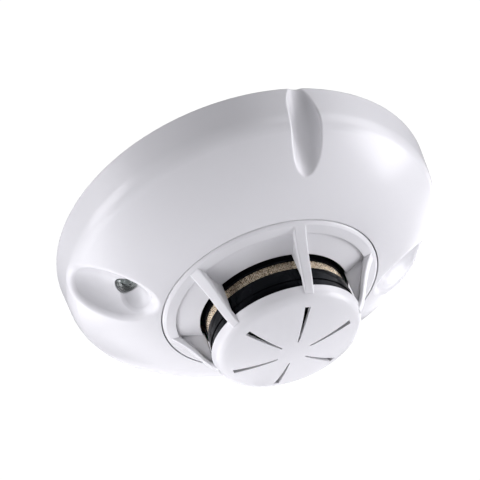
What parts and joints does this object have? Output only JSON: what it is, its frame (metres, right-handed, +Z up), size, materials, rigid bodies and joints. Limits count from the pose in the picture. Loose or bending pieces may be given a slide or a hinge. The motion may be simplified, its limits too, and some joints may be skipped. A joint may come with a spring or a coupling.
{
  "type": "ceiling heat detector",
  "caption": "Round ceiling fire detector: twist-in dome head with side status lights and finger grooves, a ribbed cage over a screened sensing chamber, and a wired mounting base.",
  "frame": {"origin": "centre of the mounting base's ceiling face", "axes": "+Z up into the ceiling; the detector hangs below; the status lights lie on X and the finger grooves on Y"},
  "size_m": [0.102, 0.102, 0.0398],
  "materials": {
    "cover_white": "glossy moulded white plastic",
    "base_white": "satin moulded white plastic",
    "board_green": "green solder mask",
    "clear_lens": "clear epoxy",
    "tinned_wire": "tinned",
    "chamber_black": "black moulded plastic",
    "tinted_epoxy": "tinted epoxy",
    "black_epoxy": "black epoxy",
    "screen_bronze": "fine woven mesh",
    "bead_epoxy": "epoxy coated bead",
    "capacitor_can": "bare can",
    "ceramic_tan": "ceramic",
    "reed_glass": "glass capsule",
    "contact_metal": "nickel plated",
    "zinc_steel": "zinc plated"
  },
  "bodies": {
    "base": {"mounting_base": "base_white", "terminal_strip_1": "contact_metal", "terminal_strip_2": "contact_metal", "terminal_strip_3": "contact_metal", "terminal_strip_4": "contact_metal"},
    "head": {"dome_cover": "cover_white", "chassis": "base_white", "circuit_board": "board_green", "contact_blade_1": "contact_metal", "contact_blade_2": "contact_metal", "contact_blade_3": "contact_metal", "contact_blade_4": "contact_metal", "housing_screws": "zinc_steel", "board_screws": "zinc_steel", "status_light_left": "clear_lens", "status_light_right": "clear_lens", "status_light_leads_left": "tinned_wire", "status_light_leads_right": "tinned_wire", "chamber_base": "chamber_black", "chamber_cover": "chamber_black", "insect_screen": "screen_bronze", "infrared_emitter": "tinted_epoxy", "photodiode": "black_epoxy", "optical_leads": "tinned_wire", "thermistor": "bead_epoxy", "thermistor_leads": "tinned_wire", "microcontroller": "black_epoxy", "bridge_rectifier": "black_epoxy", "chip_legs": "tinned_wire", "electrolytic_capacitor": "capacitor_can", "chip_resistors": "black_epoxy", "chip_capacitors": "ceramic_tan", "reed_switch": "reed_glass"},
    "cage": {"protective_cage": "cover_white"},
    "clamp_1": {"terminal_clamp_1": "zinc_steel"},
    "screw_1": {"terminal_screw_1": "zinc_steel"},
    "clamp_2": {"terminal_clamp_2": "zinc_steel"},
    "screw_2": {"terminal_screw_2": "zinc_steel"},
    "clamp_3": {"terminal_clamp_3": "zinc_steel"},
    "screw_3": {"terminal_screw_3": "zinc_steel"},
    "clamp_4": {"terminal_clamp_4": "zinc_steel"},
    "screw_4": {"terminal_screw_4": "zinc_steel"}
  },
  "joints": [
    {"name": "head_twist", "type": "hinge", "parent": "base", "child": "head", "pos_m": [0, 0, 0], "axis": [0, 0, -1], "range_deg": [0, 24]},
    {"name": "cage_twist", "type": "hinge", "parent": "head", "child": "cage", "pos_m": [0, 0, -0.022], "axis": [0, 0, -1], "range_deg": [0, 24]},
    {"name": "clamp_1_lift", "type": "slide", "parent": "base", "child": "clamp_1", "axis": [0, 0, -1], "range_m": [0, 0.0015]},
    {"name": "screw_1_turn", "type": "hinge", "parent": "clamp_1", "child": "screw_1", "pos_m": [0.02192, 0.02192, -0.0053], "axis": [0, 0, -1], "range_deg": [0, 1080]},
    {"name": "clamp_2_lift", "type": "slide", "parent": "base", "child": "clamp_2", "axis": [0, 0, -1], "range_m": [0, 0.0015]},
    {"name": "screw_2_turn", "type": "hinge", "parent": "clamp_2", "child": "screw_2", "pos_m": [-0.02192, 0.02192, -0.0053], "axis": [0, 0, -1], "range_deg": [0, 1080]},
    {"name": "clamp_3_lift", "type": "slide", "parent": "base", "child": "clamp_3", "axis": [0, 0, -1], "range_m": [0, 0.0015]},
    {"name": "screw_3_turn", "type": "hinge", "parent": "clamp_3", "child": "screw_3", "pos_m": [-0.02192, -0.02192, -0.0053], "axis": [0, 0, -1], "range_deg": [0, 1080]},
    {"name": "clamp_4_lift", "type": "slide", "parent": "base", "child": "clamp_4", "axis": [0, 0, -1], "range_m": [0, 0.0015]},
    {"name": "screw_4_turn", "type": "hinge", "parent": "clamp_4", "child": "screw_4", "pos_m": [0.02192, -0.02192, -0.0053], "axis": [0, 0, -1], "range_deg": [0, 1080]}
  ],
  "couplings": [
    {"joint": "screw_1_turn", "follows": "clamp_1_lift", "rad_per_m": 12566},
    {"joint": "screw_2_turn", "follows": "clamp_2_lift", "rad_per_m": 12566},
    {"joint": "screw_3_turn", "follows": "clamp_3_lift", "rad_per_m": 12566},
    {"joint": "screw_4_turn", "follows": "clamp_4_lift", "rad_per_m": 12566}
  ]
}
